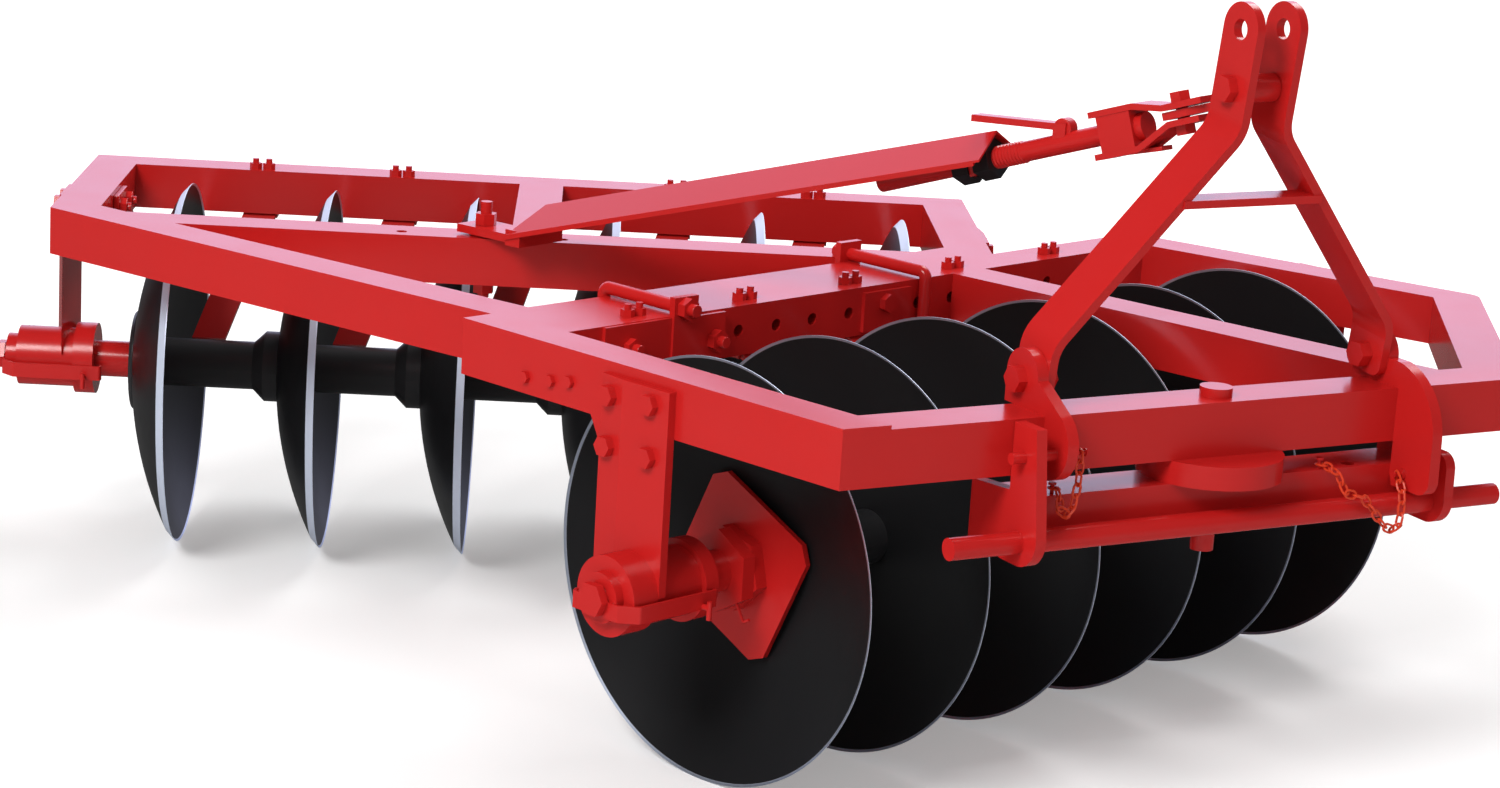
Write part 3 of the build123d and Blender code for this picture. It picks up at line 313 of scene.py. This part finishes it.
# %% A helper for node groups
def effect_group(name, inputs, outputs):
    """A node group with named inputs (name, kind, value) and outputs (name, kind)."""
    group = bpy.data.node_groups.new(name, "ShaderNodeTree")
    for label, kind, value in inputs:
        socket = group.interface.new_socket(name=label, in_out="INPUT", socket_type=kind)
        socket.default_value = value
    for label, kind in outputs:
        group.interface.new_socket(name=label, in_out="OUTPUT", socket_type=kind)
    return group, group.nodes.new("NodeGroupInput"), group.nodes.new("NodeGroupOutput")


print("helper for groups ready")

# %% The ripple, as a node group
SMEARS_FROM, SMEARS_TO = 0.3, 0.7
RIPPLE_HEIGHT = 0.001

ripple, given, result = effect_group(
    "sprayed_enamel",
    [("Color", "NodeSocketColor", (0.5, 0.5, 0.5, 1)),
     ("Shade", "NodeSocketColor", (0.4, 0.4, 0.4, 1)),
     ("Gloss low", "NodeSocketFloat", 0.2), ("Gloss high", "NodeSocketFloat", 0.35),
     ("Ripple", "NodeSocketFloat", 0.05)],
    [("Color", "NodeSocketColor"), ("Roughness", "NodeSocketFloat"),
     ("Normal", "NodeSocketVector")])
place = node(ripple, "ShaderNodeTexCoord")
cloud = sockets(node(ripple, "ShaderNodeTexNoise"), Scale=2.3, Detail=4.0, Roughness=0.55)
fine = sockets(node(ripple, "ShaderNodeTexNoise"), Scale=260.0, Detail=2.0, Roughness=0.5)
smears = sockets(node(ripple, "ShaderNodeTexNoise"), Scale=14.0, Detail=6.0, Roughness=0.65)
for texture in (cloud, fine, smears):
    ripple.links.new(place.outputs["Object"], texture.inputs["Vector"])
tint = node(ripple, "ShaderNodeMix", data_type="RGBA")
ripple.links.new(cloud.outputs["Fac"], tint.inputs["Factor"])
ripple.links.new(given.outputs["Color"], tint.inputs[COLOR_A])
ripple.links.new(given.outputs["Shade"], tint.inputs[COLOR_B])
ripple.links.new(tint.outputs[COLOR_OUT], result.inputs["Color"])
gloss = sockets(node(ripple, "ShaderNodeMapRange"), From_Min=SMEARS_FROM, From_Max=SMEARS_TO)
ripple.links.new(smears.outputs["Fac"], gloss.inputs["Value"])
ripple.links.new(given.outputs["Gloss low"], gloss.inputs["To Min"])
ripple.links.new(given.outputs["Gloss high"], gloss.inputs["To Max"])
ripple.links.new(gloss.outputs["Result"], result.inputs["Roughness"])
bump = sockets(node(ripple, "ShaderNodeBump"), Distance=RIPPLE_HEIGHT)
ripple.links.new(fine.outputs["Fac"], bump.inputs["Height"])
ripple.links.new(given.outputs["Ripple"], bump.inputs["Strength"])
ripple.links.new(bump.outputs["Normal"], result.inputs["Normal"])
print("group", ripple.name)

# %% [markdown]
# ## The ground edge of a disc and its painted highlight
# A disc is ground sharp on its bulging side, and the cut shows as a bright ring. It could be a
# piece of its own, but it is the same steel as the disc, so it is found by place: a wide band
# far from the shaft on the faces that look out, and a thin painted highlight round the rim of
# those that look into the hollow. The highlight gets a near-mirror polish and the bevel a duller
# one, and both are painted a blue-white brighter than bare steel, which is painted highlight too.
# The place comes from Object coordinates that a Mapping node centres on the row's shaft, with
# its Y along the shaft. Faces out is how squarely a face looks along the shaft on the bulging
# side.

# %% The ground ring and its painted highlight, as a node group
# The thin lip on the hollow side is a painted highlight with a near-mirror polish; the wide band
# is the ground bevel.
HOLLOW_SIDE, BULGING_SIDE = -0.35, -0.25
RING_BLUR = 0.0004
HIGHLIGHT_LIP_POLISH, BEVEL_POLISH = 0.9, 0.3

ground_ring_and_highlight, given, result = effect_group(
    "ground_ring_and_highlight",
    [("Place", "NodeSocketVector", (0, 0, 0)), ("Faces out", "NodeSocketFloat", 0.0),
     ("Bevel from", "NodeSocketFloat", 0.268), ("Highlight lip from", "NodeSocketFloat", 0.2766)],
    [("Mask", "NodeSocketFloat"), ("Polish", "NodeSocketFloat")])
flat_place = node(ground_ring_and_highlight, "ShaderNodeVectorMath", operation="MULTIPLY")
flat_place.inputs[1].default_value = (1, 0, 1)
radius = node(ground_ring_and_highlight, "ShaderNodeVectorMath", operation="LENGTH")
starts = sockets(node(ground_ring_and_highlight, "ShaderNodeMapRange"),
                 From_Min=HOLLOW_SIDE, From_Max=BULGING_SIDE)
beyond = node(ground_ring_and_highlight, "ShaderNodeMath", operation="SUBTRACT")
ring = sockets(node(ground_ring_and_highlight, "ShaderNodeMapRange"), From_Min=-RING_BLUR, From_Max=RING_BLUR)
side_polish = sockets(node(ground_ring_and_highlight, "ShaderNodeMapRange"),
                      From_Min=HOLLOW_SIDE, From_Max=BULGING_SIDE,
                      To_Min=HIGHLIGHT_LIP_POLISH, To_Max=BEVEL_POLISH)
polish = node(ground_ring_and_highlight, "ShaderNodeMath", operation="MULTIPLY")
ground_ring_and_highlight.links.new(given.outputs["Place"], flat_place.inputs[0])
ground_ring_and_highlight.links.new(flat_place.outputs[0], radius.inputs[0])
ground_ring_and_highlight.links.new(given.outputs["Faces out"], starts.inputs["Value"])
ground_ring_and_highlight.links.new(given.outputs["Highlight lip from"], starts.inputs["To Min"])
ground_ring_and_highlight.links.new(given.outputs["Bevel from"], starts.inputs["To Max"])
ground_ring_and_highlight.links.new(radius.outputs["Value"], beyond.inputs[0])
ground_ring_and_highlight.links.new(starts.outputs["Result"], beyond.inputs[1])
ground_ring_and_highlight.links.new(beyond.outputs[0], ring.inputs["Value"])
ground_ring_and_highlight.links.new(ring.outputs["Result"], result.inputs["Mask"])
ground_ring_and_highlight.links.new(given.outputs["Faces out"], side_polish.inputs["Value"])
ground_ring_and_highlight.links.new(side_polish.outputs["Result"], polish.inputs[0])
ground_ring_and_highlight.links.new(ring.outputs["Result"], polish.inputs[1])
ground_ring_and_highlight.links.new(polish.outputs[0], result.inputs["Polish"])
print("group", ground_ring_and_highlight.name)

# %% [markdown]
# ## The enamels
# The paints differ only in colour, gloss and shine, so one helper makes them all around the
# ripple group. The shine is the same all over a paint, so it is a plain number on the shader.


# %% Enamel materials
def enamel(name, color, shade, gloss, shine, ripple_depth=0.015):
    """A sprayed paint. Its colour drifts to the shade, and gloss is its range of roughness."""
    material, tree = new_material(name)
    spray = node(tree, "ShaderNodeGroup", node_tree=ripple, label="spray")
    spray.inputs["Color"].default_value = (*color, 1)
    spray.inputs["Shade"].default_value = (*shade, 1)
    sockets(spray, Gloss_low=gloss[0], Gloss_high=gloss[1], Ripple=ripple_depth)
    paint = sockets(node(tree, "ShaderNodeBsdfPrincipled"), Specular_IOR_Level=shine)
    out = node(tree, "ShaderNodeOutputMaterial")
    for label, socket in (("Color", "Base Color"), ("Roughness", "Roughness"),
                          ("Normal", "Normal")):
        tree.links.new(spray.outputs[label], paint.inputs[socket])
    tree.links.new(paint.outputs[0], out.inputs["Surface"])
    return material


RED = enamel("red_enamel", color=(0.60, 0.016, 0.014), shade=(0.53, 0.013, 0.013),
             gloss=(0.20, 0.25), shine=0.5)
BLACK = enamel("black_enamel", color=(0.034, 0.034, 0.036), shade=(0.026, 0.026, 0.028),
               gloss=(0.34, 0.40), shine=0.2)
NUT_BLACK = enamel("black_nuts", color=(0.016, 0.016, 0.017), shade=(0.010, 0.010, 0.011),
                   gloss=(0.35, 0.5), shine=0.3)
CHAIN_RED = enamel("chain_enamel", color=(0.80, 0.070, 0.022), shade=(0.66, 0.040, 0.015),
                   gloss=(0.2, 0.35), shine=0.5)
print("paints", RED.name, BLACK.name, NUT_BLACK.name, CHAIN_RED.name)

# %% [markdown]
# ## The paint of the discs
# The discs are sprayed black, and then their edges are ground; a painted highlight rings the rim
# on the hollow side. The rows slant and bulge in different ways, so each row has a paint of its
# own, which tells the ring group where the shaft is and which way a face looks.

# %% Disc paint, one for each row
# Ground steel painted blue-white and brighter than steel: partly the real ground edge, partly a
# painted highlight.
GROUND_STEEL_AND_HIGHLIGHT = (0.72, 0.79, 0.95, 1)


def disc_paint(name, row):
    """Black enamel with the ground ring and its painted highlight, placed on the row's shaft."""
    material = enamel(name, color=(0.014, 0.014, 0.015), shade=(0.010, 0.010, 0.011),
                      gloss=(0.34, 0.40), shine=0.2)
    tree = material.node_tree
    paint = next(n for n in tree.nodes if n.bl_idname == "ShaderNodeBsdfPrincipled")
    spray = next(n for n in tree.nodes if n.label == "spray")
    place = node(tree, "ShaderNodeTexCoord")
    centre = node(tree, "ShaderNodeMapping", vector_type="TEXTURE")
    centre.inputs["Location"].default_value = row.place @ Vector((0, 0, AXLE_HEIGHT))
    centre.inputs["Rotation"].default_value = row.place.to_euler()
    facing = node(tree, "ShaderNodeVectorMath", operation="DOT_PRODUCT")
    facing.inputs[1].default_value = row.place.to_3x3() @ Vector((0, row.bulge, 0))
    # The mask marks the ground bevel and the painted highlight lip on the rim.
    mask = node(tree, "ShaderNodeGroup", node_tree=ground_ring_and_highlight)
    color = node(tree, "ShaderNodeMix", data_type="RGBA")
    color.inputs[COLOR_B].default_value = GROUND_STEEL_AND_HIGHLIGHT
    tree.links.new(place.outputs["Object"], centre.inputs["Vector"])
    tree.links.new(centre.outputs["Vector"], mask.inputs["Place"])
    tree.links.new(place.outputs["Normal"], facing.inputs[0])
    tree.links.new(facing.outputs["Value"], mask.inputs["Faces out"])
    tree.links.new(mask.outputs["Mask"], color.inputs["Factor"])
    tree.links.new(spray.outputs["Color"], color.inputs[COLOR_A])
    tree.links.new(color.outputs[COLOR_OUT], paint.inputs["Base Color"])
    tree.links.new(mask.outputs["Polish"], paint.inputs["Metallic"])
    return material


FRONT_DISC = disc_paint("front_disc_paint", FRONT)
REAR_DISC = disc_paint("rear_disc_paint", REAR)
print("paints", FRONT_DISC.name, REAR_DISC.name)

# %% [markdown]
# ## Paint on the CAD pieces
# The name of a CAD piece says what it is, so its paint is read from its name. A list of all
# sixty would say the same at more length.


# %% Paint the CAD nodes
def paint_for(name):
    """The paint of the CAD piece with this name."""
    if "_disc_" in name:
        return FRONT_DISC if name.startswith("front") else REAR_DISC
    if name.endswith("_spindle"):
        return BLACK
    if name.startswith("stay_nut"):
        return NUT_BLACK
    return CHAIN_RED if name.startswith("lock_chain") else RED


for name in NODES:
    for slot in NODES[name].material_slots:
        slot.material = paint_for(name)
print("painted", len(NODES), "nodes")

# %% [markdown]
# ## Pieces that Blender adds
# The CAD holds the main shapes and the fasteners that carry them. The small rest is made here
# with mesh tools: a screw thread, a lip, some stud ends, a nut, an eye, a flat tail and a
# backing plate. Each piece is built in place, so its object stays at the origin.


# %% Turning a mesh into a finished piece
def finished(name, shape, material, body):
    """Make an object of a bmesh, give it its paint and let it ride on a body."""
    bmesh.ops.recalc_face_normals(shape, faces=shape.faces)
    mesh = bpy.data.meshes.new(name)
    shape.to_mesh(mesh)
    shape.free()
    mesh.materials.append(material)
    mesh.shade_flat()
    piece = bpy.data.objects.new(name, mesh)
    bpy.context.scene.collection.objects.link(piece)
    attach(piece, body)


print("helper for pieces ready")

# %% [markdown]
# ## Round bars, nuts and plates
# Nuts, studs and washers are all prisms: a polygon pulled out, with six sides for a nut and
# many for a round bar. Plates are blocks. Real ones have no knife edges, so the far rim of a
# prism and all the edges of a plate are bevelled a little.


# %% Helpers for prisms and plates
def prism(shape, sides, radius, length, place, edge=0.0006):
    """Add an upright prism to a bmesh, with its far rim eased, and move it to its place."""
    base = bmesh.ops.create_circle(shape, cap_ends=True, segments=sides, radius=radius)["verts"]
    raised = bmesh.ops.extrude_face_region(shape, geom=base[0].link_faces[:])["geom"]
    top = [v for v in raised if isinstance(v, bmesh.types.BMVert)]
    bmesh.ops.translate(shape, verts=top, vec=(0, 0, length))
    rim = dict.fromkeys(e for v in top for e in v.link_edges if e.other_vert(v) in top)
    bmesh.ops.transform(shape, matrix=place, verts=base + top)
    bmesh.ops.bevel(shape, geom=list(rim), offset=edge, segments=2, profile=0.5,
                    affect="EDGES", material=-1)


def plate(size, edge, place):
    """A bmesh of a block with all its edges eased, moved to its place."""
    shape = bmesh.new()
    bmesh.ops.create_cube(shape, size=1)
    bmesh.ops.scale(shape, vec=size, verts=shape.verts)
    bmesh.ops.bevel(shape, geom=shape.edges[:], offset=edge, segments=2, profile=0.5,
                    affect="EDGES", material=-1)
    bmesh.ops.transform(shape, matrix=place, verts=shape.verts)
    return shape


print("helpers for shapes ready")

# %% [markdown]
# ## The thread on the rod
# The stay's length is set by two nuts on a coarse thread. A bump in the paint would vanish at
# the rod's outline, so the thread is real: one small triangle swept round and along at once,
# which is a spin with a step of travel. Its foot is sunk into the rod, so no gap shows.

# %% Spin the thread
THREAD_START, THREAD_END = 0.872, 0.938
THREAD_PITCH = 0.005
THREAD_WIDTH = 0.9 * THREAD_PITCH
THREAD_HEIGHT, THREAD_SUNK = 0.0016, 0.0003
ROD_RADIUS = 0.0135
STEPS_PER_TURN = 28

turns = (THREAD_END - THREAD_START) / cos(ROD_SLOPE) / THREAD_PITCH
foot, crest = ROD_RADIUS - THREAD_SUNK, ROD_RADIUS + THREAD_HEIGHT
thread = bmesh.new()
ridge = [thread.verts.new((along, 0, out)) for along, out in
         ((0, foot), (THREAD_WIDTH, foot), (THREAD_WIDTH / 2, crest))]
thread.faces.new(ridge)
bmesh.ops.spin(thread, geom=thread.verts[:] + thread.edges[:] + thread.faces[:],
               cent=(0, 0, 0), axis=(1, 0, 0), dvec=(THREAD_PITCH / STEPS_PER_TURN, 0, 0),
               angle=2 * pi * turns, steps=round(turns * STEPS_PER_TURN))
bmesh.ops.transform(thread, matrix=rod(THREAD_START), verts=thread.verts)
finished("rod_thread", thread, RED, "stay_rod")
print("thread of", round(turns, 1), "turns")

# %% [markdown]
# ## The lip at the end of the stay's roof
# The folded roof reaches a little past its end plate as a thin lip, which shades the nut. It has
# the roof's own V section, so the section is drawn once and pulled out along the ridge.

# %% Pull the roof's section out to a lip
RIDGE_ALONG, RIDGE_HEIGHT = 0.118, 0.619
RIDGE_SLOPE = radians(16)
RIDGE_LENGTH = 0.795
LIP_LENGTH, LIP_DEPTH = 0.010, 0.003
WING, WING_DROP = 0.050, 0.034

ridge_end = (on_stay(RIDGE_ALONG, RIDGE_HEIGHT) @ Matrix.Rotation(-RIDGE_SLOPE, 4, "Y")
             @ Matrix.Translation((RIDGE_LENGTH, 0, 0)))
lip = bmesh.new()
outer = ((-WING, -WING_DROP), (0, 0), (WING, -WING_DROP))
section = [lip.verts.new((0, across, up)) for across, up in outer]
section += [lip.verts.new((0, across, up - LIP_DEPTH)) for across, up in reversed(outer)]
pulled = bmesh.ops.extrude_face_region(lip, geom=[lip.faces.new(section)])["geom"]
far_end = [v for v in pulled if isinstance(v, bmesh.types.BMVert)]
bmesh.ops.translate(lip, verts=far_end, vec=(LIP_LENGTH, 0, 0))
bmesh.ops.transform(lip, matrix=ridge_end, verts=lip.verts)
finished("stay_lip", lip, RED, "stay")
print("lip", round(LIP_LENGTH * 1000), "mm long")

# %% [markdown]
# ## The nut under the stay's foot
# The foot's stud goes down through the stay beam. Under the beam it ends in a washer and a nut,
# and its own end shows below them. Three prisms set one inside the other give all of it.

# %% Washer, nut and stud end under the beam
BEAM_BOTTOM = 0.485
WASHER_DEPTH, NUT_DEPTH, STUD_REACH = 0.003, 0.014, 0.024


def below_beam(drop):
    """The place at a depth under the beam, on the foot's stud."""
    return Matrix.Translation(STAY_FOOT + Vector((0, 0, BEAM_BOTTOM - drop)))


under = bmesh.new()
prism(under, sides=40, radius=0.020, length=WASHER_DEPTH, place=below_beam(WASHER_DEPTH))
prism(under, sides=6, radius=0.0165, length=NUT_DEPTH, place=below_beam(WASHER_DEPTH + NUT_DEPTH))
prism(under, sides=32, radius=0.0085, length=STUD_REACH, place=below_beam(STUD_REACH))
finished("foot_nut_below", under, RED, "frame")
print("nut under the beam")

# %% [markdown]
# ## The lever's eye
# The lever that turns the rod ends in a round eye. It is a short prism with many sides, laid
# across the stay.

# %% The lever's round eye
EYE_ALONG, EYE_HEIGHT = 0.997, 0.859
EYE_RADIUS, EYE_WIDTH = 0.0135, 0.016

laid_across = Matrix.Translation((0, EYE_WIDTH / 2, 0)) @ Matrix.Rotation(radians(90), 4, "X")
eye = bmesh.new()
prism(eye, sides=40, radius=EYE_RADIUS, length=EYE_WIDTH,
      place=on_stay(EYE_ALONG, EYE_HEIGHT) @ laid_across, edge=0.001)
finished("lever_eye", eye, RED, "stay_rod")
print("lever eye of", EYE_RADIUS * 2000, "mm")

# %% [markdown]
# ## The strap's tail
# The lower strap's end is split: one half bends up to the tongue, and the other runs on as a
# short flat tail. The tail is straight, so a block turned to its slope is enough.

# %% The strap's flat tail
TAIL_START, TAIL_END = Vector((1.096, 0, 0.8425)), Vector((1.150, 0, 0.8565))
TAIL_WIDTH, TAIL_DEPTH = 0.026, 0.006

run = TAIL_END - TAIL_START
climb = Matrix.Rotation(-run.angle(Vector((1, 0, 0))), 4, "Y")
tail = plate((run.length, TAIL_WIDTH, TAIL_DEPTH), edge=0.001,
             place=STAY @ Matrix.Translation(TAIL_START + run / 2) @ climb)
finished("strap_tail", tail, RED, "stay_rod")
print("strap tail", round(run.length * 1000), "mm long")

# %% [markdown]
# ## Stud ends on the gang beam
# The splice is held by nuts on the gang beam's front face. Each stud comes a little way out of
# its nut, as bolts do when they are cut a size too long. The nuts are in the CAD, so each end
# starts where its nut stops.

# %% A stud end in front of each nut
BEAM_FACE = -0.2340
STUD_OUT = 0.011
STUDS = (
    # along the row, height, depth of the nut, radius of the stud
    (0.150, 0.566, 0.023, 0.0090),
    (0.210, 0.516, 0.022, 0.0080),
    (0.057, 0.522, 0.016, 0.0075),
)

forwards = Matrix.Rotation(radians(90), 4, "Y")
studs = bmesh.new()
for along, height, nut_depth, stud_radius in STUDS:
    seat = FRONT.place @ Matrix.Translation((BEAM_FACE + nut_depth, along, height))
    prism(studs, sides=28, radius=stud_radius, length=STUD_OUT, place=seat @ forwards, edge=0.001)
finished("beam_stud_ends", studs, RED, "frame")
print(len(STUDS), "stud ends")

# %% [markdown]
# ## The backing plate behind a hanger
# The bolts of the rear hanger go through the side tube and end in nuts on a backing plate, which
# keeps them from pulling through the tube's wall. The plate sits on the tube's inner face, and
# each nut has a stud end that stands out of it.

# %% The backing plate with its nuts
TUBE_FACE = -0.111
PLATE_SIZE = Vector((0.092, 0.008, 0.055))
PLATE_HEIGHT = 0.5195
NUTS_AHEAD, NUTS_HEIGHT = (-0.028, 0.028), (0.502, 0.528)

middle = Matrix.Translation((0, TUBE_FACE + PLATE_SIZE.y / 2, PLATE_HEIGHT))
backing = plate(PLATE_SIZE, edge=0.0012, place=REAR.place @ middle)
inwards = Matrix.Rotation(radians(-90), 4, "X")
for nut_ahead in NUTS_AHEAD:
    for nut_height in NUTS_HEIGHT:
        seat = Matrix.Translation((nut_ahead, TUBE_FACE + PLATE_SIZE.y, nut_height))
        for sides, radius, length in ((6, 0.0135, 0.011), (24, 0.0065, 0.017)):
            prism(backing, sides, radius, length, place=REAR.place @ seat @ inwards)
finished("rear_backing_plate", backing, RED, "frame")
print("backing plate in the rear frame")
